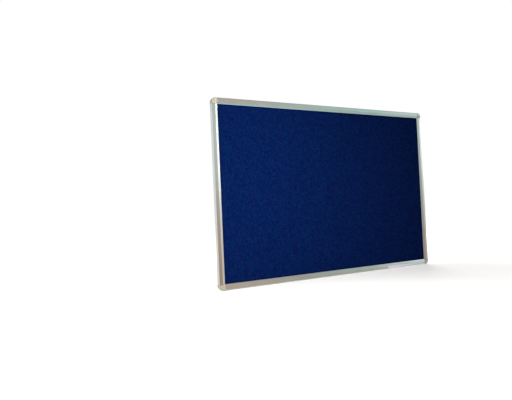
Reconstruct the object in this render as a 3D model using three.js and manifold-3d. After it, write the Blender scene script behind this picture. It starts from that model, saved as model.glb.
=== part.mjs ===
// A felt bulletin board of 900 x 600 mm: a felt-faced panel held in an anodised aluminium
// frame, whose four rails meet in moulded plastic corners with pull-off caps.
//
// Millimetres, +Z up. The origin is the middle of the plane that lies against the wall,
// X runs along the board's width and the felt faces -Y.
//
// The frame's sections are drawn in two measures: u, inwards from the board's outer edge,
// and v, forwards from the wall.

import * as THREE from 'three';
import { mergeVertices } from 'three/addons/utils/BufferGeometryUtils.js';
import Module from 'manifold-3d';

const wasm = await Module();
wasm.setup();

// The board
const BOARD_WIDTH = 900;
const BOARD_HEIGHT = 600;
const FRAME_DEPTH = 16;
const FACE_WIDTH = 20;
const CORNER_RADIUS = 16;

// How far the plastic corners stand proud of the rails, and the gap at each seam
const CORNER_PROUD = 0.4;
const SEAM_GAP = 0.3;

// Aluminium rails
const WALL = 1.3;
const SHOULDER = 12;
const RAIL_EDGE_RADIUS = 2.8;
const RAIL_FRONT = FRAME_DEPTH - CORNER_PROUD;
const LIP_HEIGHT = 12.9;
const LIP_TIP = 12.2;
const LIP_FOOT = 12;
const LIP_FOOT_WIDTH = 2;
const LIP_ROUND = 0.8;
const WEB_AT = 8.6;
const REAR_FLANGE = 17;
const CHAMBER_BEVEL = 1.5;

// The panel: felt on softboard on hardboard
const PANEL_INSET = 10.6;
const PANEL_CLIP = 14;
const BACKING_REAR = WALL + 0.3;
const BACKING_THICKNESS = 2.4;
const CORE_THICKNESS = 6;
const FELT_THICKNESS = 1.8;

// Corner blocks
const BLOCK_BASE = 1.3;
const BLOCK_FLANGE = 2.7;
const BLOCK_TOP = 12.2;
const BLOCK_INSET = 1.9;
const PANEL_CLEARANCE_LINE = 33.5;
const FIXING_INSET = 11;
const FIXING_HOLE_RADIUS = 2.5;
const FIXING_RECESS_RADIUS = 4.9;
const FIXING_SEAT = 5;

// Tongues of the corner blocks, which fill the rails' chambers
const TONGUE_LENGTH = 32;
const TONGUE_ROOT = 14;
const TONGUE_PLAY = 0.3;
const TONGUE_TOP_IN_CAP = 13.9;
const POCKET_LENGTH = 7;
const POCKET_WALL = 1.5;
const POCKET_FLOOR = 4;
const TONGUE_TAPER = 2.5;

// Caps
const CAP_SKIRT = 3;
const CAP_WALL = 1.6;
const CAP_EDGE_RADIUS = 3.2;
const CAP_CEILING = 14.2;
const CAP_LIP_HEIGHT = 13.2;
const CAP_LIP_UNDERSIDE = 12;
const PEG_RADIUS = 1.4;
const PEG_PLAY = 0.2;
const PEG_INSET = 5.3;
const PEG_REACH = 16.8;
const PEG_TIP = 7;
const SOCKET_FLOOR = 6.5;

// Countersunk self-tapping screws, one through each rail end into a tongue
const SCREW_FROM_SEAM = 16;
const SCREW_SUNK = 0.1;
const SCREW_LENGTH = 9.5;
const SCREW_HEAD_RADIUS = 2.75;
const SCREW_HEAD_HEIGHT = 1.7;
const SCREW_CORE_RADIUS = 1.1;
const SCREW_THREAD_RADIUS = 1.45;
const SCREW_PITCH = 1.5;
const SCREW_PLAY = 0.25;
const CROSS_LENGTH = 3.2;
const CROSS_WIDTH = 0.7;
const CROSS_DEPTH = 1.1;

// The blank strip on the bottom rail, beside the right-hand corner
const STRIP_LENGTH = 190;
const STRIP_FROM_CORNER = 2;
const STRIP_LOW = 3.3;
const STRIP_HIGH = 11.6;
const STRIP_THICKNESS = 0.2;
const STRIP_GLUE = 0.05;

// How finely round stretches are divided
const EDGE_STEPS = 4;
const CORNER_STEPS = 40;
const HOLE_STEPS = 18;
const SCREW_STEPS = 12;

const finish = (name, color, roughness, metalness) =>
  new THREE.MeshStandardMaterial({ name, color, roughness, metalness });

const FINISHES = {
  aluminium: finish('anodised_aluminium', 0xb4b6b2, 0.38, 0.9),
  corner: finish('corner_plastic', 0xb3aa9a, 0.45, 0),
  block: finish('block_plastic', 0x8d8b86, 0.55, 0),
  felt: finish('blue_felt', 0x0c2258, 0.95, 0),
  softboard: finish('softboard', 0xb09468, 0.9, 0),
  hardboard: finish('hardboard', 0x6b4a30, 0.7, 0),
  steel: finish('zinc_steel', 0xa9abad, 0.35, 0.9),
  film: finish('strip_film', 0xc9c6dc, 0.4, 0),
};

// A closed geometry as a solid for joining and cutting.
function toSolid(geometry) {
  const bare = geometry.clone();
  bare.deleteAttribute('normal');
  bare.deleteAttribute('uv');
  const merged = mergeVertices(bare, 1e-4);
  return new wasm.Manifold(new wasm.Mesh({
    numProp: 3,
    vertProperties: merged.attributes.position.array,
    triVerts: new Uint32Array(merged.index.array),
  }));
}

// A solid as a geometry with flat faces.
function toGeometry(solid) {
  const made = solid.getMesh();
  const indexed = new THREE.BufferGeometry();
  indexed.setAttribute('position', new THREE.BufferAttribute(made.vertProperties, 3));
  indexed.setIndex(new THREE.BufferAttribute(made.triVerts, 1));
  const flat = indexed.toNonIndexed();
  flat.computeVertexNormals();
  return flat;
}

// Points of an arc about (x, y), from one angle to another in degrees.
function arc(x, y, radius, from, to, steps) {
  return Array.from({ length: steps + 1 }, (_, i) => {
    const angle = THREE.MathUtils.degToRad(from + ((to - from) * i) / steps);
    return new THREE.Vector2(x + radius * Math.cos(angle), y + radius * Math.sin(angle));
  });
}

const at = (u, v) => new THREE.Vector2(u, v);

// A (u, v) section of the top side, run along X from x0 to x1 in a frame whose origin is
// on the outer edge: u is down and v is forwards.
function runAlongX(section, x0, x1) {
  const geometry = new THREE.ExtrudeGeometry(section, { depth: x1 - x0, bevelEnabled: false });
  const turn = new THREE.Matrix4().makeBasis(
    new THREE.Vector3(0, 0, -1),
    new THREE.Vector3(0, -1, 0),
    new THREE.Vector3(-1, 0, 0),
  );
  return geometry.applyMatrix4(turn).translate(x1, 0, 0);
}

// The same for a section of the left side, run downwards from z = -z0 to z = -z1.
function runDownZ(section, z0, z1) {
  const geometry = new THREE.ExtrudeGeometry(section, { depth: z1 - z0, bevelEnabled: false });
  const turn = new THREE.Matrix4().makeBasis(
    new THREE.Vector3(1, 0, 0),
    new THREE.Vector3(0, -1, 0),
    new THREE.Vector3(0, 0, -1),
  );
  return geometry.applyMatrix4(turn).translate(0, 0, -z0);
}

// An outline in X and Z, from v0 to v1 in front of the wall.
function slab(outline, v0, v1) {
  const shape = new THREE.Shape(outline);
  const geometry = new THREE.ExtrudeGeometry(shape, { depth: v1 - v0, bevelEnabled: false });
  return geometry.rotateX(Math.PI / 2).translate(0, -v0, 0);
}

// A box from a low to a high corner, in x, v and z.
function block(x0, x1, v0, v1, z0, z1) {
  const geometry = new THREE.BoxGeometry(x1 - x0, v1 - v0, z1 - z0);
  return geometry.translate((x0 + x1) / 2, -(v0 + v1) / 2, (z0 + z1) / 2);
}

// A round bar or hole along v.
function bar(x, z, radius, v0, v1) {
  const geometry = new THREE.CylinderGeometry(radius, radius, v1 - v0, HOLE_STEPS);
  return geometry.translate(x, -(v0 + v1) / 2, z);
}

// A shape turned about the v axis, from its radii at rising v; both ends are on the axis.
function turned(outline, x, z, steps) {
  const points = outline.map(({ x: r, y: v }) => at(r, -v)).reverse();
  return new THREE.LatheGeometry(points, steps).translate(x, 0, z);
}

// The part of a front profile with u up to a limit, ending exactly on it.
function upTo(profile, limit) {
  const kept = profile.filter((p) => p.x < limit);
  const last = kept[kept.length - 1];
  const next = profile[kept.length];
  const share = (limit - last.x) / (next.x - last.x);
  return [...kept, last.clone().lerp(next, share)];
}

// The solid between v = floor and a front profile that is carried along the top side, round
// the rounded outer corner and down the left side of a square of FACE_WIDTH. Its frame has
// its origin where the two outer edges would meet.
function cornerForm(profile, floor, reach) {
  const edge = profile[0].x;
  const side = new THREE.Shape([at(edge, floor), ...upTo(profile, reach), at(reach, floor)]);
  const acrossTop = toSolid(runAlongX(side, CORNER_RADIUS, reach));
  const downLeft = toSolid(runDownZ(side, CORNER_RADIUS, reach));
  const rim = upTo(profile, CORNER_RADIUS).map((p) => at(CORNER_RADIUS - p.x, p.y));
  const outline = [at(0, floor), at(CORNER_RADIUS - edge, floor), ...rim];
  const dome = toSolid(turned(outline, CORNER_RADIUS, -CORNER_RADIUS, CORNER_STEPS));
  const quarter = toSolid(
    block(0, CORNER_RADIUS, floor - 1, FRAME_DEPTH + 1, -CORNER_RADIUS, 0),
  );
  return dome.intersect(quarter).add(acrossTop).add(downLeft);
}

// The rails' section: a closed chamber along the outer edge, a lip that slopes down to the
// felt, and a flange behind the panel.
function railSection() {
  const outer = CORNER_PROUD;
  const radius = RAIL_EDGE_RADIUS;
  const slope = (RAIL_FRONT - LIP_HEIGHT) / (FACE_WIDTH - LIP_ROUND - SHOULDER);
  const underLip = SHOULDER + (RAIL_FRONT - WALL - LIP_FOOT) / slope;
  const section = new THREE.Shape([
    at(outer, 0),
    ...arc(outer + radius, RAIL_FRONT - radius, radius, 180, 90, EDGE_STEPS),
    at(SHOULDER, RAIL_FRONT),
    at(FACE_WIDTH - LIP_ROUND, LIP_HEIGHT),
    at(FACE_WIDTH, LIP_TIP),
    at(FACE_WIDTH, LIP_FOOT),
    at(Math.max(underLip, FACE_WIDTH - LIP_FOOT_WIDTH), LIP_FOOT),
    at(SHOULDER, RAIL_FRONT - WALL),
    at(WEB_AT + WALL, RAIL_FRONT - WALL),
    at(WEB_AT + WALL, WALL),
    at(REAR_FLANGE, WALL),
    at(REAR_FLANGE, 0),
  ]);
  const inner = outer + WALL;
  const top = RAIL_FRONT - WALL;
  section.holes.push(new THREE.Path([
    at(inner, WALL),
    at(WEB_AT, WALL),
    at(WEB_AT, top),
    at(inner + CHAMBER_BEVEL, top),
    at(inner, top - CHAMBER_BEVEL),
  ]));
  return section;
}

// The middle of the rails' chamber, where the tongues and the screws lie.
const CHAMBER_MIDDLE = (CORNER_PROUD + WALL + WEB_AT) / 2;

// The countersunk hole that a screw needs in what it passes, from the wall to v = end.
function screwHole(x, z, end) {
  const cone = SCREW_SUNK + SCREW_HEAD_HEIGHT;
  const mouth = SCREW_HEAD_RADIUS + SCREW_PLAY;
  const shank = SCREW_THREAD_RADIUS + SCREW_PLAY;
  const outline = [at(0, -1), at(mouth, -1), at(mouth, SCREW_SUNK), at(shank, cone)];
  return toSolid(turned([...outline, at(shank, end), at(0, end)], x, z, SCREW_STEPS));
}

function rail(length) {
  const half = length / 2 - FACE_WIDTH - SEAM_GAP / 2;
  let solid = toSolid(runAlongX(railSection(), -half, half));
  for (const end of [-1, 1]) {
    const x = end * (length / 2 - FACE_WIDTH - SCREW_FROM_SEAM);
    solid = solid.subtract(screwHole(x, -CHAMBER_MIDDLE, WALL + 1));
  }
  return toGeometry(solid);
}

function screw() {
  const outline = [at(0, SCREW_SUNK), at(SCREW_HEAD_RADIUS, SCREW_SUNK)];
  const neck = SCREW_SUNK + SCREW_HEAD_HEIGHT;
  const tip = SCREW_SUNK + SCREW_LENGTH;
  outline.push(at(SCREW_THREAD_RADIUS, neck));
  for (let v = neck; v + 2 * SCREW_PITCH < tip; v += SCREW_PITCH) {
    outline.push(at(SCREW_CORE_RADIUS, v + 0.25 * SCREW_PITCH));
    outline.push(at(SCREW_CORE_RADIUS, v + 0.65 * SCREW_PITCH));
    outline.push(at(SCREW_THREAD_RADIUS, v + 0.95 * SCREW_PITCH));
  }
  outline.push(at(0, tip));
  const body = toSolid(turned(outline, 0, 0, SCREW_STEPS));
  const long = CROSS_LENGTH / 2;
  const wide = CROSS_WIDTH / 2;
  const along = toSolid(block(-long, long, SCREW_SUNK - 1, CROSS_DEPTH, -wide, wide));
  const across = toSolid(block(-wide, wide, SCREW_SUNK - 1, CROSS_DEPTH, -long, long));
  return toGeometry(body.subtract(along.add(across)));
}

// One tongue, lying along X in the top rail's chamber, with its two cored pockets.
function tongue() {
  const high = -(CORNER_PROUD + WALL + TONGUE_PLAY);
  const low = -(WEB_AT - TONGUE_PLAY);
  const rear = WALL + TONGUE_PLAY;
  const front = RAIL_FRONT - WALL - TONGUE_PLAY;
  const seam = FACE_WIDTH - SEAM_GAP / 2;
  const tip = FACE_WIDTH + TONGUE_LENGTH;
  const taper = tip - TONGUE_TAPER;
  const outline = [at(seam, low), at(taper, low), at(tip, low + 1), at(tip, high - 1)];
  outline.push(at(taper, high), at(seam, high));
  let solid = toSolid(slab(outline, rear, front - CHAMBER_BEVEL));
  const narrow = high - CHAMBER_BEVEL;
  solid = solid.add(toSolid(block(seam, taper, rear, front, low, narrow)));
  solid = solid.add(toSolid(block(TONGUE_ROOT, seam, BLOCK_BASE, TONGUE_TOP_IN_CAP, low, narrow)));
  solid = solid.add(toSolid(block(TONGUE_ROOT, seam, BLOCK_BASE, BLOCK_TOP, low, high)));
  const screwAt = FACE_WIDTH + SCREW_FROM_SEAM;
  for (const middle of [screwAt - 9, screwAt + 9]) {
    const x0 = middle - POCKET_LENGTH / 2;
    const x1 = middle + POCKET_LENGTH / 2;
    const pocket = block(x0, x1, POCKET_FLOOR, FRAME_DEPTH, low + POCKET_WALL, high - POCKET_WALL);
    solid = solid.subtract(toSolid(pocket));
  }
  return solid.subtract(screwHole(screwAt, -CHAMBER_MIDDLE, SCREW_LENGTH + 1));
}

// The same solid mirrored across the corner's diagonal: x and -z change places.
function acrossDiagonal(solid) {
  return solid.transform([0, 0, -1, 0, 0, 1, 0, 0, -1, 0, 0, 0, 0, 0, 0, 1]);
}

function cornerBlock() {
  const seam = FACE_WIDTH - SEAM_GAP / 2;
  const flat = (edge, v) => [at(edge, v), at(FACE_WIDTH + 1, v)];
  const base = cornerForm(flat(CORNER_PROUD, BLOCK_BASE), 0, seam);
  const flange = cornerForm(flat(CORNER_PROUD, BLOCK_FLANGE), 0, seam);
  const body = cornerForm(flat(BLOCK_INSET, BLOCK_TOP), 0, seam);
  const far = FACE_WIDTH + 1;
  const near = PANEL_CLEARANCE_LINE - far;
  const panelCorner = [at(near, -far), at(far, -far), at(far, -near)];
  const clearance = toSolid(slab(panelCorner, BLOCK_BASE, FRAME_DEPTH));
  const oneTongue = tongue();
  let solid = flange.add(body).subtract(clearance).add(base);
  solid = solid.add(oneTongue).add(acrossDiagonal(oneTongue));
  const x = FIXING_INSET;
  solid = solid.subtract(toSolid(bar(x, -x, FIXING_HOLE_RADIUS, -1, FRAME_DEPTH)));
  solid = solid.subtract(toSolid(bar(x, -x, FIXING_RECESS_RADIUS, FIXING_SEAT, FRAME_DEPTH)));
  const socket = PEG_RADIUS + PEG_PLAY;
  for (const [px, pz] of [[PEG_REACH, -PEG_INSET], [PEG_INSET, -PEG_REACH]]) {
    solid = solid.subtract(toSolid(bar(px, pz, socket, SOCKET_FLOOR, FRAME_DEPTH)));
  }
  return toGeometry(solid);
}

function cornerCap() {
  const seam = FACE_WIDTH - SEAM_GAP / 2;
  const radius = CAP_EDGE_RADIUS;
  const outside = [
    ...arc(radius, FRAME_DEPTH - radius, radius, 180, 90, EDGE_STEPS + 1),
    at(SHOULDER, FRAME_DEPTH),
    at(FACE_WIDTH, CAP_LIP_HEIGHT),
  ];
  const inside = [
    at(CAP_WALL, CAP_CEILING - CAP_WALL),
    at(2 * CAP_WALL, CAP_CEILING),
    at(SHOULDER, CAP_CEILING),
    at(FACE_WIDTH, CAP_LIP_UNDERSIDE),
    at(FACE_WIDTH + 2, CAP_LIP_UNDERSIDE),
  ];
  let solid = cornerForm(outside, CAP_SKIRT, seam);
  solid = solid.subtract(cornerForm(inside, CAP_SKIRT - 1, FACE_WIDTH + 1));
  for (const [px, pz] of [[PEG_REACH, -PEG_INSET], [PEG_INSET, -PEG_REACH]]) {
    solid = solid.add(toSolid(bar(px, pz, PEG_RADIUS, PEG_TIP, CAP_CEILING + 0.5)));
  }
  return toGeometry(solid);
}

// One layer of the panel: a rectangle whose corners are clipped to clear the corner blocks.
function panelLayer(rear, thickness) {
  const x = BOARD_WIDTH / 2 - PANEL_INSET;
  const z = BOARD_HEIGHT / 2 - PANEL_INSET;
  const c = PANEL_CLIP;
  const corners = [[1, 1], [-1, 1], [-1, -1], [1, -1]];
  const outline = corners.flatMap(([sx, sz]) => {
    const onSide = at(sx * x, sz * (z - c));
    const onTop = at(sx * (x - c), sz * z);
    return sx * sz > 0 ? [onSide, onTop] : [onTop, onSide];
  });
  return slab(outline, rear, rear + thickness);
}

function blankStrip() {
  const right = -(BOARD_WIDTH / 2 - FACE_WIDTH - STRIP_FROM_CORNER);
  const rear = RAIL_FRONT + STRIP_GLUE;
  return block(right, right + STRIP_LENGTH, rear, rear + STRIP_THICKNESS, -STRIP_HIGH, -STRIP_LOW);
}

const board = new THREE.Group();
board.name = 'felt_bulletin_board';

function add(parent, name, geometry, material) {
  const mesh = new THREE.Mesh(geometry, material);
  mesh.name = name;
  parent.add(mesh);
  return mesh;
}

// The panel, from the wall forwards
const coreRear = BACKING_REAR + BACKING_THICKNESS;
const feltRear = coreRear + CORE_THICKNESS;
add(board, 'hardboard_backing', panelLayer(BACKING_REAR, BACKING_THICKNESS), FINISHES.hardboard);
add(board, 'softboard_core', panelLayer(coreRear, CORE_THICKNESS), FINISHES.softboard);
add(board, 'felt_cover', panelLayer(feltRear, FELT_THICKNESS), FINISHES.felt);

// The four sides. Each one turns the top side's frame a quarter turn further clockwise, as
// seen from the front; first and last are its two ends in that frame's own X direction.
const SIDES = [
  { side: 'top', first: 'left', last: 'right', x: 0, z: 1, length: BOARD_WIDTH },
  { side: 'right', first: 'top', last: 'bottom', x: 1, z: 0, length: BOARD_HEIGHT },
  { side: 'bottom', first: 'right', last: 'left', x: 0, z: -1, length: BOARD_WIDTH },
  { side: 'left', first: 'bottom', last: 'top', x: -1, z: 0, length: BOARD_HEIGHT },
];
const CORNERS = [
  { corner: 'top_left', x: -1, z: 1 },
  { corner: 'top_right', x: 1, z: 1 },
  { corner: 'bottom_right', x: 1, z: -1 },
  { corner: 'bottom_left', x: -1, z: -1 },
];

function turnedGroup(x, z, quarter) {
  const group = new THREE.Group();
  group.position.set((x * BOARD_WIDTH) / 2, 0, (z * BOARD_HEIGHT) / 2);
  group.rotation.y = (quarter * Math.PI) / 2;
  board.add(group);
  return group;
}

const screwGeometry = screw();
SIDES.forEach(({ side, first, last, x, z, length }, quarter) => {
  const group = turnedGroup(x, z, quarter);
  add(group, `${side}_rail`, rail(length), FINISHES.aluminium);
  for (const [end, sign] of [[first, -1], [last, 1]]) {
    const fixed = add(group, `${side}_rail_screw_${end}`, screwGeometry, FINISHES.steel);
    fixed.position.set(sign * (length / 2 - FACE_WIDTH - SCREW_FROM_SEAM), 0, -CHAMBER_MIDDLE);
  }
  if (side === 'bottom') {
    add(group, 'blank_strip', blankStrip(), FINISHES.film);
  }
});

const blockGeometry = cornerBlock();
const capGeometry = cornerCap();
CORNERS.forEach(({ corner, x, z }, quarter) => {
  const group = turnedGroup(x, z, quarter);
  add(group, `corner_block_${corner}`, blockGeometry, FINISHES.block);
  add(group, `corner_cap_${corner}`, capGeometry, FINISHES.corner);
});

export default board;
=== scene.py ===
"""Looks of a framed felt bulletin board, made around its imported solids."""

import math

import bmesh
import bpy
import numpy as np
from bpy.props import FloatProperty, FloatVectorProperty, IntProperty, PointerProperty
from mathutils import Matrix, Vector
from mathutils.geometry import tessellate_polygon


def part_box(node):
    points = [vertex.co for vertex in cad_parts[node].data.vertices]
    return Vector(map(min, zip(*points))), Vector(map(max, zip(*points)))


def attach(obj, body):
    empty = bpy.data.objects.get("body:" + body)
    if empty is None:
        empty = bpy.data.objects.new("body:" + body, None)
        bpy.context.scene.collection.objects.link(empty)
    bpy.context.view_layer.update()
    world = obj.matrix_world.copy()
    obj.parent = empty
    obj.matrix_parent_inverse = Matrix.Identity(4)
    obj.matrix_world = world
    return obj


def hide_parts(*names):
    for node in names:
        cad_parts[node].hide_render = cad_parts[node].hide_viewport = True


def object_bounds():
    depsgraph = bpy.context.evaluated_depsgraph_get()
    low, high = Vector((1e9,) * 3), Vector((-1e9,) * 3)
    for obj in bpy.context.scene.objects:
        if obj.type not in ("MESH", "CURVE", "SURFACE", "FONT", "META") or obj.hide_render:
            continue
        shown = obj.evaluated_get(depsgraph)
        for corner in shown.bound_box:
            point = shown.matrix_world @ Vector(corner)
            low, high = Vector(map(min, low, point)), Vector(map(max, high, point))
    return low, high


bl_info = {
    "name": "Felt Bulletin Board",
    "version": (1, 0, 0),
    "blender": (4, 5, 0),
    "location": "3D View > Sidebar > Felt Board",
    "description": "Builds a framed felt bulletin board around its packed solids",
    "category": "Add Mesh",
}

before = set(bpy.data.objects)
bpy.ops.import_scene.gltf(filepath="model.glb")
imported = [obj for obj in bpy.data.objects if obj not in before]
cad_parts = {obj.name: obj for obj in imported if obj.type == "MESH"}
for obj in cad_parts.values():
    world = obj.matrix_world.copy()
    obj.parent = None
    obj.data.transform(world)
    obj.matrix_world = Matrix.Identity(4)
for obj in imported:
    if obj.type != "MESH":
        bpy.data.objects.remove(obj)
CAD_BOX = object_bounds()

MM = 0.001

# The board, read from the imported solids. Lengths are in metres. On the top side, u runs
# inwards from the board's outer edge and v forwards from the wall.
HALF_WIDTH = CAD_BOX[1].x
HALF_HEIGHT = CAD_BOX[1].z
DEPTH = -CAD_BOX[0].y
RAIL_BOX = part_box("top_rail")
CAP_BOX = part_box("corner_cap_top_left")
STRIP_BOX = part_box("blank_strip")
FELT_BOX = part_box("felt_cover")
SCREW_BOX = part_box("top_rail_screw_left")
RAIL_SIDE = HALF_HEIGHT - RAIL_BOX[1].z
RAIL_FRONT = -RAIL_BOX[0].y
LIP_EDGE = HALF_HEIGHT - RAIL_BOX[0].z
SEAM_EDGE = CAP_BOX[1].x + HALF_WIDTH
CAP_SKIRT = -CAP_BOX[1].y

# Points that lie closer together than this are one.
SAME_POINT = 1e-6

SIDES = ("top", "right", "bottom", "left")
CORNERS = ("top_left", "top_right", "bottom_right", "bottom_left")
SCREWS = [
    f"{side}_rail_screw_{SIDES[(quarter + step) % 4]}"
    for quarter, side in enumerate(SIDES)
    for step in (-1, 1)
]

LENGTH = {"subtype": "DISTANCE", "unit": "LENGTH"}
COLOR = {"subtype": "COLOR", "size": 3, "min": 0, "max": 1}
POWER = {"subtype": "POWER", "unit": "POWER", "min": 0}


def settings():
    """The sizes and colours that the panel shows."""
    return bpy.context.scene.felt_board


class BoardSettings(bpy.types.PropertyGroup):
    """Sizes and colours of the board's pieces"""

    wall: FloatProperty(
        name="Rail Wall",
        description="Thickness of the aluminium",
        default=1.3 * MM,
        min=0.8 * MM,
        max=2 * MM,
        **LENGTH,
    )
    shoulder: FloatProperty(
        name="Shoulder",
        description="Where the flat face of a rail ends and its slope to the felt begins",
        default=12 * MM,
        **LENGTH,
    )
    edge_break: FloatProperty(
        name="Edge Break",
        description="Width of the broken edges of cut rails and moulded pieces",
        default=0.18 * MM,
        **LENGTH,
    )
    corner_radius: FloatProperty(
        name="Corner Radius",
        description="Outer radius of the board's corners, seen from the front",
        default=16 * MM,
        **LENGTH,
    )
    metal_color: FloatVectorProperty(
        name="Aluminium",
        description="Colour of the anodised rails",
        default=(0.72, 0.70, 0.65),
        **COLOR,
    )
    cap_color: FloatVectorProperty(
        name="Corner Caps",
        description="Colour of the moulded corner caps",
        default=(0.53, 0.475, 0.39),
        **COLOR,
    )
    block_color: FloatVectorProperty(
        name="Corner Blocks",
        description="Colour of the moulded corner blocks",
        default=(0.24, 0.23, 0.21),
        **COLOR,
    )
    strip_color: FloatVectorProperty(
        name="Strip",
        description="Colour of the blank strip at its left end",
        default=(0.98, 0.84, 1.0),
        **COLOR,
    )


class FeltSettings(bpy.types.PropertyGroup):
    """Colour and surface of the felt"""

    color: FloatVectorProperty(
        name="Felt",
        description="Mean colour of the felt",
        default=(0.0007, 0.0094, 0.067),
        **COLOR,
    )
    nap: FloatProperty(
        name="Nap",
        description="Height of the felt's lumps above and below its mean surface",
        default=0.16 * MM,
        min=0,
        max=0.4 * MM,
        **LENGTH,
    )
    swell: FloatProperty(
        name="Swell",
        description="How far the felt rises again from where the lip presses it down",
        default=0.22 * MM,
        min=0,
        max=0.4 * MM,
        **LENGTH,
    )
    columns: IntProperty(
        name="Columns",
        description="Divisions of the felt along the board's width",
        default=372,
        min=60,
        max=380,
    )
    rows: IntProperty(
        name="Rows",
        description="Divisions of the felt along the board's height",
        default=246,
        min=40,
        max=250,
    )


class StageSettings(bpy.types.PropertyGroup):
    """Camera, floor and light"""

    camera_place: FloatVectorProperty(
        name="Camera",
        description="Where the camera stands",
        default=(-1.0011, -1.3226, -0.0536),
        size=3,
        subtype="XYZ",
        unit="LENGTH",
    )
    camera_turn: FloatVectorProperty(
        name="Camera Turn",
        description="How the camera is turned",
        default=(math.radians(91.168), math.radians(2.616), math.radians(-27.8)),
        size=3,
        subtype="EULER",
    )
    lens: FloatProperty(
        name="Lens",
        description="Focal length on a 36 mm wide sensor, in millimetres",
        default=32.39,
        min=10,
        max=200,
    )
    key_power: FloatProperty(
        name="Key Light",
        description="Power of the light in front of the board",
        default=15.8,
        **POWER,
    )
    top_power: FloatProperty(
        name="Top Light",
        description="Power of the cool light overhead",
        default=3.5,
        **POWER,
    )
    side_power: FloatProperty(
        name="Side Light",
        description="Power of the tall light on the right, which only shiny surfaces show",
        default=11.5,
        **POWER,
    )
    back_power: FloatProperty(
        name="Back Light",
        description="Power of each of the two lights behind the board",
        default=30,
        **POWER,
    )
    ambient: FloatProperty(
        name="Ambient",
        description="Strength of the light from all round the front",
        default=0.063,
        min=0,
        max=1,
    )


def rounded(corners, radii, steps=6):
    """A closed outline with arcs for corners. Each arc's centre lies on the corner's
    bisector at radius / sin(half the angle), and the arc turns from the foot of the
    perpendicular on one side to the foot on the next."""
    corners = np.asarray(corners, float)
    radii = np.asarray(radii, float)[:, None]
    back = np.roll(corners, 1, axis=0) - corners
    ahead = np.roll(corners, -1, axis=0) - corners
    back /= np.linalg.norm(back, axis=1, keepdims=True)
    ahead /= np.linalg.norm(ahead, axis=1, keepdims=True)
    half = np.arccos(np.clip((back * ahead).sum(axis=1), -1, 1))[:, None] / 2
    bisector = back + ahead
    bisector /= np.linalg.norm(bisector, axis=1, keepdims=True)
    centre = corners + bisector * radii / np.sin(half)
    begin = corners + back * radii / np.tan(half) - centre
    end = corners + ahead * radii / np.tan(half) - centre
    first = np.arctan2(begin[:, 1], begin[:, 0])
    last = np.arctan2(end[:, 1], end[:, 0])
    turn = (last - first + math.pi) % (2 * math.pi) - math.pi
    angle = first[:, None] + turn[:, None] * np.linspace(0, 1, steps + 1)
    circle = np.stack([np.cos(angle), np.sin(angle)], axis=-1)
    return (centre[:, None] + radii[:, None] * circle).reshape(-1, 2)


def shrunk(outline, distance):
    """The outline moved inwards: each point goes distance along the mean of its two sides'
    inward normals. A negative distance makes the outline larger."""
    ahead = np.roll(outline, -1, axis=0) - outline
    ahead /= np.linalg.norm(ahead, axis=1, keepdims=True)
    tangent = ahead + np.roll(ahead, 1, axis=0)
    tangent /= np.linalg.norm(tangent, axis=1, keepdims=True)
    x, y = outline.T
    area = (x * np.roll(y, -1) - np.roll(x, -1) * y).sum()
    normal = np.stack([-tangent[:, 1], tangent[:, 0]], axis=1) * np.sign(area)
    return outline + normal * distance


def noise_field(shape, spacing, size, seed):
    """Smooth random heights of mean 0 and deviation 1 on a grid: white noise whose
    waves are weighted by a Gaussian, so that lumps come out about `size` across."""
    rows, columns = shape
    white = np.random.default_rng(seed).standard_normal(shape)
    wave_z = np.fft.fftfreq(rows, spacing)[:, None]
    wave_x = np.fft.fftfreq(columns, spacing)[None, :]
    weight = np.exp(-((wave_x**2 + wave_z**2) * size**2) * 2)
    field = np.fft.ifft2(np.fft.fft2(white) * weight).real
    return (field - field.mean()) / field.std()


class Skin:
    """A mesh gathered patch by patch, with a UV in metres at each face corner."""

    def __init__(self):
        self.points = []
        self.faces = []
        self.corners = []
        self.count = 0

    def grid(self, points, rows_at, columns_at, closed=False):
        """Quads between neighbouring points of a rows x columns grid, whose last column
        joins the first if it is closed. columns_at then has one value more."""
        rows, columns = points.shape[:2]
        first = self.add(points.reshape(-1, 3))
        row, column = np.meshgrid(
            np.arange(rows - 1), np.arange(columns if closed else columns - 1), indexing="ij"
        )
        beside = (column + 1) % columns
        face = [row * columns + column, row * columns + beside]
        face += [(row + 1) * columns + beside, (row + 1) * columns + column]
        self.faces += (first + np.stack(face, axis=-1)).reshape(-1, 4).tolist()
        along = rows_at[np.stack([row, row, row + 1, row + 1], axis=-1)]
        around = columns_at[np.stack([column, column + 1, column + 1, column], axis=-1)]
        self.corners.append(np.stack([along, around], axis=-1).reshape(-1, 2))
        return first

    def add(self, points):
        """Adds points and returns the number of the first."""
        first = self.count
        self.points.append(points)
        self.count += len(points)
        return first

    def polygon(self, numbers, flat):
        """One face with any number of corners; flat holds a UV for each of them."""
        self.faces.append([int(n) for n in numbers])
        self.corners.append(np.asarray(flat, float))

    def triangles(self, numbers, outlines):
        """A flat region between an outer outline and its holes, cut into triangles.
        numbers are the vertices' and outlines their flat places, outline after outline."""
        loops = [[(a, b, 0.0) for a, b in outline] for outline in outlines]
        flat = np.concatenate(outlines)
        for triangle in tessellate_polygon(loops):
            self.polygon([numbers[i] for i in triangle], flat[list(triangle)])

    def mesh(self, name):
        """The finished mesh, with points that coincide merged and its faces outwards."""
        mesh = bpy.data.meshes.new(name)
        mesh.from_pydata(np.concatenate(self.points).tolist(), [], self.faces)
        layer = mesh.uv_layers.new(name="metres")
        layer.data.foreach_set("uv", np.concatenate(self.corners).astype(np.float32).ravel())
        edit = bmesh.new()
        edit.from_mesh(mesh)
        bmesh.ops.remove_doubles(edit, verts=edit.verts, dist=SAME_POINT)
        bmesh.ops.dissolve_degenerate(edit, edges=edit.edges, dist=1e-8)
        bmesh.ops.recalc_face_normals(edit, faces=edit.faces)
        edit.to_mesh(mesh)
        edit.free()
        return mesh


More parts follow.
